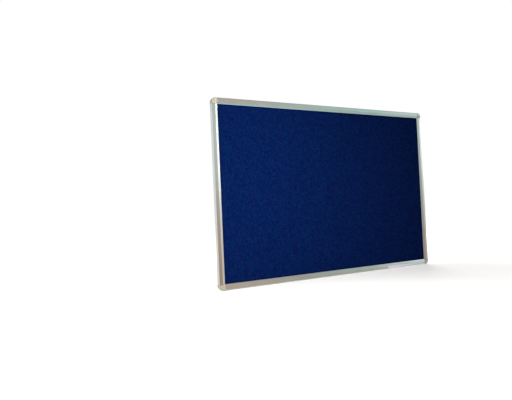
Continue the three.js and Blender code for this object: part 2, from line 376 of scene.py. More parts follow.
def turned(points, quarter):
    """Points of the top side, or of the top left corner, turned clockwise as seen from the
    front by that many quarter turns: x and z go to x cos + z sin and z cos - x sin."""
    cosine = (1, 0, -1, 0)[quarter]
    sine = (0, 1, 0, -1)[quarter]
    x, y, z = np.moveaxis(points, -1, 0)
    return np.stack([x * cosine + z * sine, y, z * cosine - x * sine], axis=-1)

def loose(name, data):
    """An object in the scene, at the origin."""
    made = bpy.data.objects.new(name, data)
    bpy.context.scene.collection.objects.link(made)
    return made


def piece(name, mesh, build, nodes, body="board", sharp=35):
    """An object at the origin that rides on a body, has the material that build makes and
    stands for some of the nodes."""
    mesh.shade_smooth()
    mesh.set_sharp_from_angle(angle=math.radians(sharp))
    made = loose(name, mesh)
    mesh.materials.clear()
    mesh.materials.append(material(build))
    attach(made, body)
    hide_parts(*nodes)
    return made


def even_shading(made):
    """Lets large flat faces set the normals at their rims, so that they shade flat."""
    modifier = made.modifiers.new("even_shading", "WEIGHTED_NORMAL")
    modifier.keep_sharp = True
    modifier.weight = 80


def combine(target, skin, operation):
    """Joins another solid to the target mesh, or takes it away."""
    other = loose("other", skin.mesh("other"))
    modifier = target.modifiers.new("combine", "BOOLEAN")
    modifier.operation = operation
    modifier.solver = "EXACT"
    modifier.object = other
    graph = bpy.context.evaluated_depsgraph_get()
    mesh = bpy.data.meshes.new_from_object(target.evaluated_get(graph))
    target.modifiers.clear()
    target.data = mesh
    bpy.data.objects.remove(other)


def node(tree, kind, inputs=None, **values):
    """A shader node with its settings, and with each input set or linked."""
    made = tree.nodes.new(kind)
    for name, value in values.items():
        setattr(made, name, value)
    for name, value in (inputs or {}).items():
        if isinstance(value, bpy.types.NodeSocket):
            tree.links.new(value, made.inputs[name])
        else:
            made.inputs[name].default_value = value
    return made


def parts_of(vector):
    """A vector's X, Y and Z."""
    return node(vector.id_data, "ShaderNodeSeparateXYZ", {"Vector": vector}).outputs


def noise(place, scale, detail, **more):
    """Noise at a place, whose lumps are about 1 / scale across."""
    inputs = {"Vector": place, "Scale": scale, "Detail": detail, **more}
    return node(place.id_data, "ShaderNodeTexNoise", inputs).outputs["Fac"]


def math_of(operation, first, second=0.5):
    """One step of arithmetic on values, the first of which is a socket."""
    inputs = {0: first, 1: second}
    return node(first.id_data, "ShaderNodeMath", inputs, operation=operation).outputs[0]


def scaled(value, share):
    """A value times another."""
    return math_of("MULTIPLY", value, share)


def plus(value, other, share):
    """A value and a share of another. A negative share takes it away."""
    return math_of("ADD", value, scaled(other, share))


def stretch(value, low, high, to_low=0.0, to_high=1.0):
    """A value mapped from one range onto another, and held inside it."""
    inputs = {"Value": value, "From Min": low, "From Max": high}
    inputs.update({"To Min": to_low, "To Max": to_high})
    return node(value.id_data, "ShaderNodeMapRange", inputs).outputs["Result"]


def blend_colors(factor, first, second):
    """The colour between two others."""
    inputs = {0: factor, 6: first, 7: second}
    return node(factor.id_data, "ShaderNodeMix", inputs, data_type="RGBA").outputs[2]


def varied(value, first, second):
    """A colour between two others that follows noise, whose values lie about its middle."""
    return blend_colors(stretch(value, 0.3, 0.7), first, second)


def bump(height, strength, distance):
    """A normal with relief."""
    inputs = {"Height": height, "Strength": strength, "Distance": distance}
    return node(height.id_data, "ShaderNodeBump", inputs).outputs[0]


def rgba(color, gain=1.0):
    """A colour with its alpha, made lighter or darker."""
    return (*(min(1.0, c * gain) for c in color), 1.0)


def effect(build, place, **values):
    """The outputs of a node group in a material. The group is named after the function
    that builds it, and is made where it is first used."""
    group = bpy.data.node_groups.get(build.__name__)
    if group is None:
        group = bpy.data.node_groups.new(build.__name__, "ShaderNodeTree")
        group.interface.new_socket("Vector", in_out="INPUT", socket_type="NodeSocketVector")
        for name in values:
            group.interface.new_socket(name, in_out="INPUT", socket_type="NodeSocketFloat")
        start = group.nodes.new("NodeGroupInput")
        made = build(start.outputs[0], start.outputs[1])
        for name in made:
            group.interface.new_socket(name, in_out="OUTPUT", socket_type="NodeSocketFloat")
        node(group, "NodeGroupOutput", made)
    inputs = {"Vector": place, **values}
    return node(place.id_data, "ShaderNodeGroup", inputs, node_tree=group).outputs


def tangled_fibres(place, scale):
    """Tangled fibres: noise drawn out into threads in three directions, on wavy lines.
    Height is for bump, and Tone tells pale threads from dark ones."""
    tree = place.id_data
    place = node(tree, "ShaderNodeVectorMath", {0: place, "Scale": scale}, operation="SCALE")
    sway = noise(place.outputs[0], 0.35, 2.0).node.outputs["Color"]
    bent = node(
        tree, "ShaderNodeMix", {0: 0.55, 4: place.outputs[0], 5: sway}, data_type="VECTOR"
    )
    threads = []
    for turn, shift in ((0.3, 0.0), (1.35, 7.3), (2.4, 15.1)):
        along = {
            "Vector": bent.outputs[1],
            "Location": (shift, shift, shift),
            "Rotation": (0.0, turn, 0.0),
            "Scale": (4.5, 1.0, 0.45),
        }
        along = node(tree, "ShaderNodeMapping", along, vector_type="TEXTURE")
        threads.append(noise(along.outputs[0], 2.4, 3.0, Roughness=0.6))
    height = stretch(threads[0], 0.44, 0.66)
    tone = threads[0]
    for thread in threads[1:]:
        height = math_of("MAXIMUM", height, stretch(thread, 0.44, 0.66))
        tone = math_of("ADD", tone, thread)
    return {"Height": height, "Tone": stretch(tone, 1.2, 1.85)}


def pebbled_grain(place, scale):
    """Fine pebbled grain of a moulded surface, with a slow unevenness as Tone."""
    tree = place.id_data
    cells = node(
        tree, "ShaderNodeTexVoronoi", {"Vector": place, "Scale": scale}, feature="SMOOTH_F1"
    )
    return {"Height": cells.outputs["Distance"], "Tone": noise(place, 55.0, 4.0)}


def handled_edges(place, radius):
    """Handled edges: where the normal averaged over a small radius leaves the face's own
    normal, broken up by noise. Mask is 1 on a worn edge."""
    tree = place.id_data
    soft = node(tree, "ShaderNodeBevel", {"Radius": radius}, samples=4).outputs["Normal"]
    face = node(tree, "ShaderNodeNewGeometry").outputs["Normal"]
    meet = node(tree, "ShaderNodeVectorMath", {0: soft, 1: face}, operation="DOT_PRODUCT")
    edge = stretch(meet.outputs["Value"], 0.80, 0.99, 1.0, 0.0)
    broken = stretch(noise(place, 260.0, 5.0), 0.42, 0.62)
    return {"Mask": scaled(edge, broken)}


def settled_dust(place, amount):
    """Light dust: thickest on faces that look up, and patchy. Mask is 1 where it covers."""
    face = node(place.id_data, "ShaderNodeNewGeometry").outputs["Normal"]
    upward = stretch(parts_of(face)["Z"], -0.2, 0.9, 0.12, 1.0)
    cover = stretch(noise(place, 38.0, 6.0), 0.35, 0.75, 0.2, 1.0)
    return {"Mask": scaled(scaled(upward, cover), amount)}


DUST = (0.42, 0.40, 0.37, 1.0)


def material(build):
    """The material that a function builds, named after it and made only once. The function
    takes Object coordinates and gives the inputs of the Principled shader."""
    made = bpy.data.materials.get(build.__name__)
    if made is None:
        made = bpy.data.materials.new(build.__name__)
        made.use_nodes = True
        tree = made.node_tree
        tree.nodes.clear()
        place = node(tree, "ShaderNodeTexCoord").outputs["Object"]
        shader = node(tree, "ShaderNodeBsdfPrincipled", build(place))
        node(tree, "ShaderNodeOutputMaterial", {"Surface": shader.outputs[0]})
    return made


def satin_anodised_aluminium(place):
    """Anodised aluminium: fine lines drawn along each rail, slow cloudiness, paler worn
    edges and a trace of dust. It follows the rails' own UV, whose first axis runs along
    them, and reflections spread across the drawn lines."""
    tree = place.id_data
    color = settings().metal_color
    own = node(tree, "ShaderNodeTexCoord").outputs["UV"]
    drawn = node(tree, "ShaderNodeMapping", {"Vector": own, "Scale": (9.0, 5200.0, 1.0)})
    lines = noise(drawn.outputs[0], 1.0, 4.0)
    cloud = noise(place, 16.0, 3.0)
    tone = plus(scaled(lines, 0.6), cloud, 0.4)
    worn = effect(handled_edges, place, Radius=0.5 * MM)["Mask"]
    dust = effect(settled_dust, place, Amount=0.12)["Mask"]
    metal = varied(tone, rgba(color, 0.9), rgba(color, 1.08))
    metal = blend_colors(scaled(worn, 0.5), metal, rgba(color, 1.3))
    return {
        "Base Color": blend_colors(dust, metal, DUST),
        "Roughness": plus(stretch(tone, 0.3, 0.7, 0.28, 0.38), dust, 0.9),
        "Metallic": 1.0,
        "Anisotropic": 0.65,
        "Anisotropic Rotation": 0.25,
        "Tangent": node(tree, "ShaderNodeTangent", direction_type="UV_MAP").outputs[0],
        "Normal": bump(lines, 0.35, 0.02 * MM),
    }


def moulded_plastic(place, color, gloss, metallic):
    """Moulded plastic: a fine pebbled grain, slightly uneven colour, edges polished pale
    by hands, and a little dust. A metallic pigment makes it shine partly as metal does."""
    grain = effect(pebbled_grain, place, Scale=2600.0)
    worn = effect(handled_edges, place, Radius=0.6 * MM)["Mask"]
    dust = effect(settled_dust, place, Amount=0.15)["Mask"]
    body = varied(grain["Tone"], rgba(color, 0.92), rgba(color, 1.06))
    body = blend_colors(scaled(worn, 0.35), body, rgba(color, 1.35))
    rough = stretch(grain["Tone"], 0.3, 0.7, gloss, gloss + 0.12)
    return {
        "Base Color": blend_colors(dust, body, DUST),
        "Roughness": plus(rough, worn, -0.12),
        "Metallic": metallic,
        "Normal": bump(grain["Height"], 0.25, 0.08 * MM),
    }


def sand_moulded_plastic(place):
    """The caps' plastic, which has a metallic pigment."""
    return moulded_plastic(place, settings().cap_color, 0.38, 0.5)


def grey_moulded_plastic(place):
    """The blocks' plain plastic."""
    return moulded_plastic(place, settings().block_color, 0.5, 0.0)


def blue_needle_felt(place):
    """Needle felt: clouds of two dyes with violet flecks, fibres tangled at two scales
    with dark threads and painted shade in the pits between them, and a few paler loose
    fibres. It has painted shade along the lip, and hardly any gloss."""
    color = bpy.context.scene.felt_cover.color
    navy = (color[0] * 1.1, color[1] * 0.56, color[2] * 0.78, 1.0)
    teal = (color[0] * 0.9, color[1] * 1.75, color[2] * 1.26, 1.0)
    violet = (color[0] * 10.0, color[1], color[2] * 1.1, 1.0)
    clouds = noise(place, 145.0, 2.0, Roughness=0.55, Distortion=0.4)
    flecks = noise(place, 230.0, 1.0)
    coarse = effect(tangled_fibres, place, Scale=190.0)
    fine = effect(tangled_fibres, place, Scale=900.0)
    felt = blend_colors(stretch(clouds, 0.36, 0.64), navy, teal)
    felt = blend_colors(stretch(flecks, 0.48, 0.68, 0.0, 0.8), felt, violet)
    # Painted shade: the felt is darkened where the fibres' tone is low, in the pits between them.
    shade = plus(scaled(coarse["Tone"], 0.55), fine["Tone"], 0.45)
    pits = stretch(shade, 0.25, 0.75, 0.55, 0.0)
    felt = blend_colors(pits, felt, rgba(color, 0.25))
    stray = stretch(fine["Height"], 0.82, 1.0, 0.0, 0.4)
    felt = blend_colors(stray, felt, rgba(color, 2.4))
    # Painted shade: the lip's contact shadow, painted as a darkening of the felt within 8 mm of the
    # lip.
    parts = parts_of(place)
    past = []
    for axis, half in (("X", HALF_WIDTH), ("Z", HALF_HEIGHT)):
        out = math_of("ABSOLUTE", parts[axis])
        past.append(math_of("SUBTRACT", out, half - LIP_EDGE))
    rim = stretch(math_of("MAXIMUM", *past), -8 * MM, 0.0, 0.0, 0.35)
    height = plus(scaled(coarse["Height"], 0.6), fine["Height"], 0.4)
    return {
        "Base Color": blend_colors(rim, felt, rgba(color, 0.3)),
        "Roughness": 0.95,
        "Specular IOR Level": 0.005,
        "Sheen Weight": 0.02,
        "Sheen Roughness": 0.55,
        "Sheen Tint": (0.25, 0.45, 0.9, 1.0),
        "Normal": bump(height, 0.9, 0.5 * MM),
    }


def pressed_softboard(place):
    """Softboard: pale pressed wood fibre with darker flecks."""
    fibre = effect(tangled_fibres, place, Scale=500.0)
    flecks = stretch(noise(place, 420.0, 2.0), 0.62, 0.72, 0.0, 0.6)
    body = blend_colors(fibre["Tone"], (0.30, 0.22, 0.13, 1.0), (0.52, 0.42, 0.28, 1.0))
    return {
        "Base Color": blend_colors(flecks, body, (0.12, 0.07, 0.04, 1.0)),
        "Roughness": 0.92,
        "Normal": bump(fibre["Height"], 0.7, 0.4 * MM),
    }


def screen_marked_hardboard(place):
    """The back of hardboard: brown pressed fibre printed with the fine square mesh that
    it dried on, a product of two sines."""
    wires_apart = 2.1 * MM
    parts = parts_of(place)
    waves = []
    for axis in ("X", "Z"):
        wave = math_of("SINE", scaled(parts[axis], 2 * math.pi / wires_apart))
        waves.append(math_of("ABSOLUTE", wave))
    mesh = scaled(*waves)
    fibre = effect(tangled_fibres, place, Scale=420.0)
    blotch = noise(place, 7.0, 5.0)
    tone = plus(scaled(fibre["Tone"], 0.5), blotch, 0.5)
    tone = stretch(tone, 0.25, 0.75)
    brown = blend_colors(tone, (0.085, 0.042, 0.020, 1.0), (0.19, 0.105, 0.052, 1.0))
    brown = blend_colors(scaled(mesh, 0.35), brown, (0.26, 0.155, 0.085, 1.0))
    height = plus(mesh, fibre["Height"], 0.3)
    return {
        "Base Color": brown,
        "Roughness": 0.82,
        "Normal": bump(height, 0.6, 0.22 * MM),
    }


def zinc_plated_steel(place):
    """Zinc-plated steel: bluish grey with patchy passivation and burred edges."""
    patches = noise(place, 900.0, 4.0)
    worn = effect(handled_edges, place, Radius=0.2 * MM)["Mask"]
    metal = varied(patches, (0.40, 0.42, 0.44, 1.0), (0.62, 0.62, 0.58, 1.0))
    return {
        "Base Color": blend_colors(worn, metal, (0.72, 0.70, 0.66, 1.0)),
        "Roughness": stretch(patches, 0.3, 0.7, 0.26, 0.46),
        "Metallic": 1.0,
        "Normal": bump(patches, 0.15, 0.05 * MM),
    }


def glossy_film(place):
    """Glossy film: its colour runs from one end of the strip to the other, a painted change
    of light and reflection along it, with a little unevenness from the rail beneath."""
    color = settings().strip_color
    # Painted light: the colour at the right end is cooler, standing in for the change in light and
    # reflection along the strip.
    painted_far_end_color = (color[0] * 0.68, color[1] * 1.06, color[2], 1.0)
    ripple = noise(place, 60.0, 3.0)
    along = stretch(parts_of(place)["X"], STRIP_BOX[0].x, STRIP_BOX[1].x)
    along = math_of("ADD", along, stretch(ripple, 0.3, 0.7, -0.08, 0.08))
    return {
        "Base Color": blend_colors(stretch(along, 0.0, 1.0), rgba(color), painted_far_end_color),
        "Roughness": stretch(ripple, 0.3, 0.7, 0.22, 0.34),
        "Coat Weight": 0.3,
        "Coat Roughness": 0.1,
        "Normal": bump(ripple, 0.1, 0.2 * MM),
    }


def section(turns, steps=6):
    """The closed outline of a section in metres, as (u, v) points, from its corners in
    millimetres, each with the radius that rounds it."""
    turns = np.array(turns, float) * MM
    return rounded(turns[:, :2], turns[:, 2], steps)


def rail_outline():
    """A rail's section, from the outer rear corner round by the front: outer side, flat
    face, slope, lip, underside, web and rear flange."""
    side = RAIL_SIDE / MM
    front = RAIL_FRONT / MM
    lip = LIP_EDGE / MM
    shoulder = settings().shoulder / MM
    wall = settings().wall / MM
    web = 9.9
    flange = 17.0
    return section(
        (
            (side, 0, 0.3),
            (side, front, 2.8),
            (shoulder, front, 1.0),
            (lip - 0.8, 12.9, 0.5),
            (lip, 12.25, 0.22),
            (lip, 12.0, 0.12),
            (18.13, 12.0, 0.5),
            (shoulder, front - wall, 0.5),
            (web, front - wall, 0.3),
            (web, wall, 0.3),
            (flange, wall, 0.2),
            (flange, 0, 0.2),
        )
    )


def chamber_outline():
    """The section of the chamber inside a rail, which holds the blocks' tongues."""
    wall = settings().wall / MM
    side = RAIL_SIDE / MM + wall
    front = RAIL_FRONT / MM - wall
    inner = 8.6
    turns = ((side, wall), (inner, wall), (inner, front), (side + 1.5, front), (side, front - 1.5))
    return section([(u, v, 0.25) for u, v in turns])


def run_length(outline):
    """How far each point of a closed outline is from its first, along it, and last the
    whole way round."""
    steps = np.linalg.norm(np.roll(outline, -1, axis=0) - outline, axis=1)
    return np.concatenate([[0.0], np.cumsum(steps)])


def halves(quarter):
    """Half the width and half the height of the board before its quarter turns: where
    their number is odd, it starts on end."""
    return (HALF_WIDTH, HALF_HEIGHT) if quarter % 2 == 0 else (HALF_HEIGHT, HALF_WIDTH)


def swept_rail(half_length, half_across):
    """The top rail of a board that is 2 half_length wide and 2 half_across high: the point
    at (u, v) of the section goes to (x, -v, half_across - u) for each x along the rail. The
    section shrinks by the edge break at both ends."""
    edge = settings().edge_break
    reach = half_length - LIP_EDGE - (LIP_EDGE - SEAM_EDGE)
    places = np.array([-reach, -reach + edge, 0.0, reach - edge, reach])
    insets = np.array([edge, 0.0, 0.0, 0.0, edge])
    skin = Skin()
    ends = []
    for outline, sign in ((rail_outline(), 1), (chamber_outline(), -1)):
        loops = np.stack([shrunk(outline, sign * inset) for inset in insets])
        across = np.broadcast_to(places[:, None], loops.shape[:2])
        points = np.stack([across, -loops[..., 1], half_across - loops[..., 0]], axis=-1)
        first = skin.grid(points, places, run_length(outline), closed=True)
        ends.append((first + np.arange(len(places) * len(outline)).reshape(len(places), -1), loops))
    for row in (0, -1):
        numbers = np.concatenate([numbers[row] for numbers, loops in ends])
        skin.triangles(numbers, [loops[row] for numbers, loops in ends])
    return skin


def lathe(profile, centre, segments=48):
    """A closed solid of revolution about a line along Y through centre: the point (r, y) of
    the profile, in millimetres, goes to (centre x + r cos a, y, centre z + r sin a). Its
    first and last points lie on the axis."""
    profile = np.array(profile) * MM
    angle = np.linspace(0, 2 * math.pi, segments, endpoint=False)
    radius = profile[:, :1]
    x = centre[0] + radius * np.cos(angle)
    z = centre[1] + radius * np.sin(angle)
    y = np.broadcast_to(profile[:, 1:], x.shape)
    skin = Skin()
    turns = np.linspace(0, 1, segments + 1)
    skin.grid(np.stack([x, y, z], axis=-1), np.linspace(0, 1, len(profile)), turns, closed=True)
    return skin


def screw_place(name):
    """The middle of a screw, as (x, z)."""
    low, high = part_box(name)
    return ((low.x + high.x) / 2, (low.z + high.z) / 2)


def build_rails():
    """The four rails, each with a countersunk hole for each of its two screws."""
    sink = ((0, 0.4), (3.4, 0.4), (1.7, -1.3), (1.7, -1.6), (0, -1.6))
    for quarter, side in enumerate(SIDES):
        name = f"{side}_rail_extrusion"
        skin = swept_rail(*halves(quarter))
        skin.points = [turned(points, quarter) for points in skin.points]
        rail = piece(
            name, skin.mesh(name), satin_anodised_aluminium, [f"{side}_rail"]
        )
        for screw in SCREWS:
            if screw.startswith(f"{side}_rail"):
                combine(rail, lathe(sink, screw_place(screw)), "DIFFERENCE")
        even_shading(rail)


def cap_outline():
    """A corner cap's section, from the outer rear corner round by the front: skirt, flat
    face, slope, inner edge and underside."""
    seam = SEAM_EDGE / MM - 0.15
    front = DEPTH / MM
    skirt = CAP_SKIRT / MM
    shoulder = settings().shoulder / MM
    under = 14.2
    wall = 1.6
    turns = (
        (0, skirt, 0.3),
        (0, front, 3.2),
        (shoulder, front, 1.2),
        (seam - 0.1, 13.25, 0.3),
        (seam, 12.14, 0.2),
        (shoulder, under, 0.5),
        (wall, under, 1.2),
        (wall, skirt, 0.3),
    )
    return section(turns, steps=8)


def swept_cap():
    """The top left cap. For each u of its section the path runs along the top edge, round
    an arc and down the left edge: the arc's radius is the corner radius less u, at least
    1.2 mm while there is room, and its centre is u plus that radius from both edges. The
    section shrinks by a little less than the edge break at both ends."""
    edge = settings().edge_break * 0.6
    outline = cap_outline()
    begin = SEAM_EDGE
    angles = np.linspace(0, math.pi / 2, 28)
    u = outline[:, 0]
    radius = np.maximum(settings().corner_radius - u, 1.2 * MM)
    radius = np.minimum(radius, begin - edge - u)
    centre = u + radius
    last = np.full_like(u, begin)
    straight = np.full_like(u, begin - edge)
    inset = shrunk(outline, edge)
    across = [centre - radius * math.sin(a) for a in angles]
    down = [centre - radius * math.cos(a) for a in angles]
    across = np.stack([last, straight, *across, u, inset[:, 0]])
    down = np.stack([inset[:, 0], u, *down, straight, last])
    depth = np.tile(outline[:, 1], (len(across), 1))
    depth[0] = inset[:, 1]
    depth[-1] = inset[:, 1]
    points = np.stack([across - HALF_WIDTH, -depth, HALF_HEIGHT - down], axis=-1)
    middle = len(outline) // 4
    path = np.linalg.norm(np.diff(points[:, middle], axis=0), axis=1)
    path = np.concatenate([[0.0], np.cumsum(path)])
    skin = Skin()
    first = skin.grid(points, path, run_length(outline), closed=True)
    for row in (0, len(path) - 1):
        skin.polygon(first + row * len(outline) + np.arange(len(outline)), inset)
    return skin


def build_caps():
    """The four corner caps, each with two pegs beneath that press into its block. Each is
    made at the top left corner, shifted to that of a board on end if need be, and turned."""
    peg = ((0, -7.0), (1.15, -7.0), (1.4, -7.5), (1.4, -14.6), (0, -14.6))
    pegs_at = np.array([(16.8, 5.3), (5.3, 16.8)]) * MM
    for quarter, corner in enumerate(CORNERS):
        name = f"{corner}_cap_moulding"
        half_across, half_up = halves(quarter)
        shift = np.array([HALF_WIDTH - half_across, 0.0, half_up - HALF_HEIGHT])
        skin = swept_cap()
        skin.points = [turned(points + shift, quarter) for points in skin.points]
        cap = piece(
            name,
            skin.mesh(name),
            sand_moulded_plastic,
            [f"corner_cap_{corner}"],
            body=f"cap_{corner}",
        )
        for across, down in pegs_at:
            place = turned(np.array([across - half_across, 0.0, half_up - down]), quarter)
            combine(cap, lathe(peg, place[[0, 2]], 32), "UNION")
        even_shading(cap)


def build_blocks():
    """The four corner blocks: each CAD solid with its flat faces made whole again, and
    every sharp edge broken."""
    for corner in CORNERS:
        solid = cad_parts[f"corner_block_{corner}"]
        name = f"{corner}_block_moulding"
        mesh = bpy.data.meshes.new(name)
        edit = bmesh.new()
        edit.from_mesh(solid.data)
        bmesh.ops.remove_doubles(edit, verts=edit.verts, dist=SAME_POINT)
        bmesh.ops.dissolve_limit(
            edit, angle_limit=math.radians(1), verts=edit.verts, edges=edit.edges
        )
        edit.to_mesh(mesh)
        edit.free()
        block = piece(
            name, mesh, grey_moulded_plastic, [solid.name], sharp=30
        )
        edges = block.modifiers.new("broken_edges", "BEVEL")
        edges.width = settings().edge_break
        edges.segments = 2
        edges.limit_method = "ANGLE"
        edges.angle_limit = math.radians(40)
        edges.use_clamp_overlap = True
        even_shading(block)


def smooth(value):
    """A value held between 0 and 1, with a soft start and end: 3 t t - 2 t t t."""
    value = np.clip(value, 0, 1)
    return value * value * (3 - 2 * value)


def felt_surface():
    """The felt's front as x, y and z on a grid. At height z it reaches half the width less
    what the clipped corners take away, and its depth is the sheet's own, plus random nap,
    less a dent near the lip, plus a swell that rises and falls further in."""
    felt = bpy.context.scene.felt_cover
    low, high = FELT_BOX
    clip = 14 * MM
    dent_width = 4 * MM
    swell_width = 14 * MM
    tallest = 1.6
    z = np.linspace(high.z, low.z, felt.rows + 1)[:, None]
    share = np.linspace(-1, 1, felt.columns + 1)[None, :]
    x = share * (high.x - np.maximum(0, np.abs(z) - (high.z - clip)))
    z = np.broadcast_to(z, x.shape)
    spacing = (high.x - low.x) / felt.columns
    nap = 0.6 * noise_field(x.shape, spacing, 13 * MM, 11)
    nap += 0.4 * noise_field(x.shape, spacing, 5.5 * MM, 12)
    nap = felt.nap * np.clip(nap, -tallest, tallest) / tallest
    inside = np.minimum(HALF_WIDTH - np.abs(x), HALF_HEIGHT - np.abs(z)) - LIP_EDGE
    held = np.clip(1 - inside / dent_width, 0, 1)
    swell = np.sin(np.clip(inside / swell_width, 0, 1) * math.pi) ** 2
    top = -low.y + felt.swell * (swell - smooth(held)) + nap * (1 - 0.8 * held)
    return np.stack([x, -top, z], axis=-1)


def build_felt():
    """The felt: its front, flat rims and a flat back."""
    low, high = FELT_BOX
    points = felt_surface()
    rows, columns = points.shape[:2]
    x = points[..., 0]
    z = points[..., 2]
    skin = Skin()
    front = skin.grid(points, z[:, 0], x[rows // 2])
    numbers = np.arange(rows * columns).reshape(rows, columns)
    loop = np.concatenate(
        [numbers[0, :-1], numbers[:-1, -1], numbers[-1, :0:-1], numbers[:0:-1, 0]]
    )
    rim = np.stack([x.ravel()[loop], np.full(len(loop), high.y), z.ravel()[loop]], axis=-1)
    back = skin.add(rim)
    here = np.arange(len(loop))
    beside = np.roll(here, -1)
    sides = (front + loop[here], back + here, back + beside, front + loop[beside])
    skin.faces += np.stack(sides, axis=-1).tolist()
    flat = rim[:, [0, 2]]
    corners = np.stack([flat[here], flat[here], flat[beside], flat[beside]], axis=1)
    skin.corners.append(corners.reshape(-1, 2))
    skin.polygon(back + here[::-1], flat[::-1])
    made = piece(
        "needle_felt",
        skin.mesh("needle_felt"),
        blue_needle_felt,
        ["felt_cover"],
        sharp=60,
    )


def screw_skin(centre, turn):
    """A countersunk screw as rings about its axis. Its head is sunk by a cross recess, the
    union of two crossed bars with soft edges. Below the cone, the radius is that of the
    core plus a thread, a peak whose phase is the depth over the pitch plus the turn."""
    low, high = SCREW_BOX
    segments = 96
    core = 1.12 * MM
    thread = 0.36 * MM
    pitch = 1.5 * MM
    bar_reach = 1.6 * MM
    bar_half = 0.42 * MM
    bar_soft = 0.16 * MM
    recess = 1.0 * MM
    face = -high.y
    tip = -low.y
    cone = np.array([[2.75, 0.12], [2.66, 0.26], [2.1, 0.95], [1.45, 1.72]]) * MM
    angle = np.linspace(0, 2 * math.pi, segments, endpoint=False)[None, :]
    ring = np.linspace(0, 1, 22)[:, None] * (cone[0, 0] - cone[0, 1])
    across = ring * np.cos(angle)
    along = ring * np.sin(angle)
    bars = [
        smooth((bar_reach - np.abs(first)) / bar_soft)
        * smooth((bar_half - np.abs(second)) / bar_soft)
        for first, second in ((across, along), (along, across))
    ]
    below = np.linspace(face + 1.9 * MM, tip, 64)[:, None]
    phase = (below / pitch + angle / (2 * math.pi)) % 1
    ridge = np.clip(1 - np.abs(phase - 0.5) / 0.3, 0, 1)
    taper = np.clip((tip - below) / (2.2 * MM), 0, 1) ** 0.6
    radius = (ring, cone[:, :1], (core + thread * ridge) * taper)
    depth = (face + recess * np.maximum(*bars), face + cone[:, 1:], below)
    radius = np.concatenate([np.broadcast_to(r, (len(r), segments)) for r in radius])
    depth = np.concatenate([np.broadcast_to(d, (len(d), segments)) for d in depth])
    x = centre[0] + radius * np.cos(angle + turn)
    z = centre[1] + radius * np.sin(angle + turn)
    skin = Skin()
    points = np.stack([x, -depth, z], axis=-1)
    length = np.linspace(0, 20 * MM, len(points))
    skin.grid(points, length, np.linspace(0, 17 * MM, segments + 1), closed=True)
    return skin


def build_screws():
    """The eight screws, each driven to its own angle."""
    turns = np.random.default_rng(5).uniform(0, math.pi, len(SCREWS))
    for screw, turn in zip(SCREWS, turns):
        name = f"{screw}_threaded"
        mesh = screw_skin(screw_place(screw), turn).mesh(name)
        piece(name, mesh, zinc_plated_steel, [screw], sharp=50)


def build_strip():
    """The blank strip: a flat plate whose outline is a rectangle with round corners, and
    whose front edge is rounded in four steps of a quarter circle."""
    low, high = STRIP_BOX
    soft = 0.09 * MM
    corners = [(low.x, low.z), (high.x, low.z), (high.x, high.z), (low.x, high.z)]
    outline = rounded(corners, np.full(4, 0.9 * MM), steps=10)
    quarter = np.linspace(0, math.pi / 2, 5)
    insets = np.concatenate([[0.0], soft * (1 - np.cos(quarter))])
    depths = np.concatenate([[high.y], low.y + soft * (1 - np.sin(quarter))])
    loops = np.stack([shrunk(outline, inset) for inset in insets])
    y = np.broadcast_to(depths[:, None], loops.shape[:2])
    points = np.stack([loops[..., 0], y, loops[..., 1]], axis=-1)
    skin = Skin()
    first = skin.grid(points, insets, run_length(outline), closed=True)
    around = first + np.arange(len(outline))
    skin.polygon(around, loops[0])
    skin.polygon(around + (len(insets) - 1) * len(outline), loops[-1])
    name = "blank_film_strip"
    piece(name, skin.mesh(name), glossy_film, ["blank_strip"])


def finish_layers():
    """Materials of the two flat layers behind the felt, whose solids stay as they are."""
    for name, build in (
        ("softboard_core", pressed_softboard),
        ("hardboard_backing", screen_marked_hardboard),
    ):
        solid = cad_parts[name]
        solid.data.materials.clear()
        solid.data.materials.append(material(build))


WARM = (1.0, 0.99, 0.97)

# Each lamp's name, the setting that holds its power, its place, the point it faces, its
# width and height, and its colour.
LAMPS = (
    ("key_light", "key_power", (-0.4, -0.92, 0.22), (-0.8, 0, -0.5), (0.6, 0.7), WARM),
    ("top_light", "top_power", (-0.3, -0.7, 1.5), (0, 0, 0.1), (1.4, 0.7), (0.86, 0.97, 1.0)),
    ("side_light", "side_power", (2.15, -0.4, 0.62), (0, 0, 0.1), (0.6, 1.0), (0.97, 0.99, 1.0)),
    ("left_back_light", "back_power", (-1.3, 1.5, 0.9), (0, 0, 0), (1.2, 1.2), WARM),
    ("right_back_light", "back_power", (1.3, 1.5, 0.9), (0, 0, 0), (1.2, 1.2), WARM),
)

# What shiny surfaces see, as colours at rising heights of the direction they look in: AHEAD
# straight out from the board, ASIDE, WIDE and FAR further and further from there, the same to
# the left and to the right, and AROUND for the rest.
AHEAD = (
    (-0.40, (0.12, 0.14, 0.20)),
    (-0.12, (0.0, 0.15, 0.28)),
    (0.02, (0.16, 0.32, 0.38)),
    (0.14, (0.70, 0.78, 0.88)),
    (0.36, (0.55, 0.40, 0.34)),
)
ASIDE = (
    (-0.60, (0.70, 0.82, 0.88)),
    (-0.34, (0.14, 0.09, 0.06)),
    (-0.14, (1.15, 0.48, 0.10)),
    (0.0, (0.70, 0.40, 0.34)),
    (0.14, (0.92, 0.88, 0.90)),
    (0.34, (0.20, 0.32, 0.28)),
    (0.52, (0.80, 0.52, 0.44)),
    (0.80, (2.0, 1.8, 1.6)),
)
WIDE = (
    (-0.58, (1.05, 2.0, 2.15)),
    (-0.42, (0.14, 0.28, 0.28)),
    (-0.02, (0.16, 0.0, 0.0)),
    (0.10, (0.44, 1.10, 1.25)),
    (0.30, (0.56, 1.30, 1.42)),
    (0.44, (0.22, 0.14, 0.08)),
)
